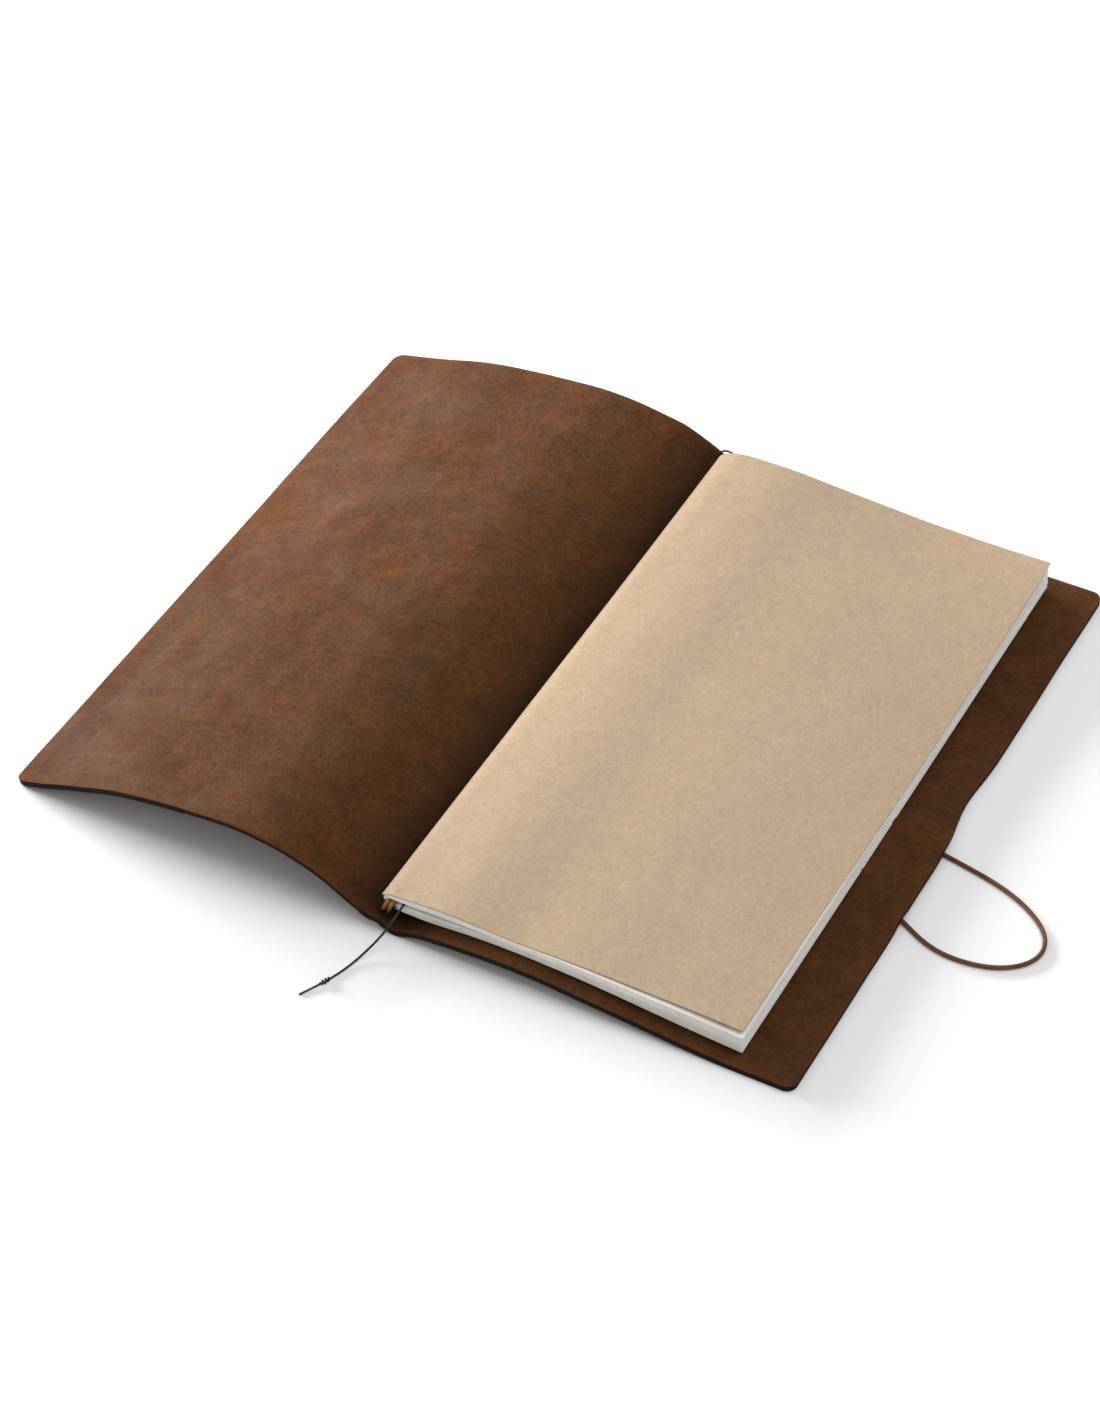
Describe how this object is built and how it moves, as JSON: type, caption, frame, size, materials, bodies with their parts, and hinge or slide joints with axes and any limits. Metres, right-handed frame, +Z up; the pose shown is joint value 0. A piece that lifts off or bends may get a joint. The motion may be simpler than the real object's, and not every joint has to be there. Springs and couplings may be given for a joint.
{
  "type": "leather notebook cover",
  "caption": "Open leather notebook cover with a refill booklet on a gutter elastic, a bookmark string and an elastic closing loop; cover and leaves turn.",
  "frame": {"origin": "middle of the open cover's outline, on the surface that it lies on", "axes": "+X across the open spread from the front cover to the back cover, +Y up along the spine, +Z up"},
  "size_m": [0.2848, 0.2513, 0.0176],
  "materials": {
    "leather": "matt oiled leather, rough inner side, dark cut edge",
    "kraft_paper": "uncoated kraft card",
    "page_paper": "uncoated cream paper",
    "staple_wire": "drawn wire",
    "binding_elastic": "woven elastic cord",
    "clasp_metal": "crimped tin",
    "closure_elastic": "woven elastic cord",
    "bookmark_string": "waxed twisted string"
  },
  "bodies": {
    "back_cover": {"back_cover_leather": "leather", "kraft_cover_back": "kraft_paper", "back_leaves_1": "page_paper", "back_leaves_2": "page_paper", "back_leaves_3": "page_paper", "back_leaves_4": "page_paper", "staple_bottom": "staple_wire", "staple_top": "staple_wire", "binding_elastic": "binding_elastic", "elastic_clasp": "clasp_metal", "closure_elastic": "closure_elastic", "closure_knot": "closure_elastic", "bookmark_string": "bookmark_string", "bookmark_knot": "bookmark_string", "bookmark_end": "bookmark_string"},
    "spine": {"spine_leather": "leather"},
    "front_1": {"front_leather_1": "leather"},
    "front_2": {"front_leather_2": "leather"},
    "front_3": {"front_leather_3": "leather"},
    "front_4": {"front_leather_4": "leather"},
    "leaves_1": {"front_leaves_1": "page_paper"},
    "leaves_2": {"front_leaves_2": "page_paper"},
    "leaves_3": {"front_leaves_3": "page_paper"},
    "leaves_4": {"front_leaves_4": "page_paper"},
    "kraft_front": {"kraft_cover_front": "kraft_paper"}
  },
  "joints": [
    {"name": "spine_fold", "type": "hinge", "parent": "back_cover", "child": "spine", "pos_m": [-0.0057, 0, 0.0046], "axis": [0, 1, 0], "range_deg": [0, 63.1]},
    {"name": "front_cover_fold", "type": "hinge", "parent": "spine", "child": "front_1", "pos_m": [-0.0122, 0, 0.0079], "axis": [0, 1, 0], "range_deg": [0, 77.3]},
    {"name": "front_cover_bend_1", "type": "hinge", "parent": "front_1", "child": "front_2", "pos_m": [-0.025, 0, 0.0135], "axis": [0, 1, 0], "range_deg": [0, 34.2]},
    {"name": "front_cover_bend_2", "type": "hinge", "parent": "front_2", "child": "front_3", "pos_m": [-0.0495, 0, 0.0166], "axis": [0, 1, 0], "range_deg": [0, 14]},
    {"name": "front_cover_bend_3", "type": "hinge", "parent": "front_3", "child": "front_4", "pos_m": [-0.081, 0, 0.01285], "axis": [0, 1, 0], "range_deg": [0, 9.1]},
    {"name": "front_leaves_1_turn", "type": "hinge", "parent": "back_cover", "child": "leaves_1", "pos_m": [-0.003, 0, 0.00835], "axis": [0, 1, 0], "range_deg": [-20, 0]},
    {"name": "front_leaves_2_turn", "type": "hinge", "parent": "leaves_1", "child": "leaves_2", "pos_m": [-0.003, 0, 0.00835], "axis": [0, 1, 0], "range_deg": [-20, 0]},
    {"name": "front_leaves_3_turn", "type": "hinge", "parent": "leaves_2", "child": "leaves_3", "pos_m": [-0.003, 0, 0.00835], "axis": [0, 1, 0], "range_deg": [-20, 0]},
    {"name": "front_leaves_4_turn", "type": "hinge", "parent": "leaves_3", "child": "leaves_4", "pos_m": [-0.003, 0, 0.00835], "axis": [0, 1, 0], "range_deg": [-30, 0]},
    {"name": "kraft_cover_turn", "type": "hinge", "parent": "leaves_4", "child": "kraft_front", "pos_m": [-0.003, 0, 0.00835], "axis": [0, 1, 0], "range_deg": [-55, 0]}
  ]
}
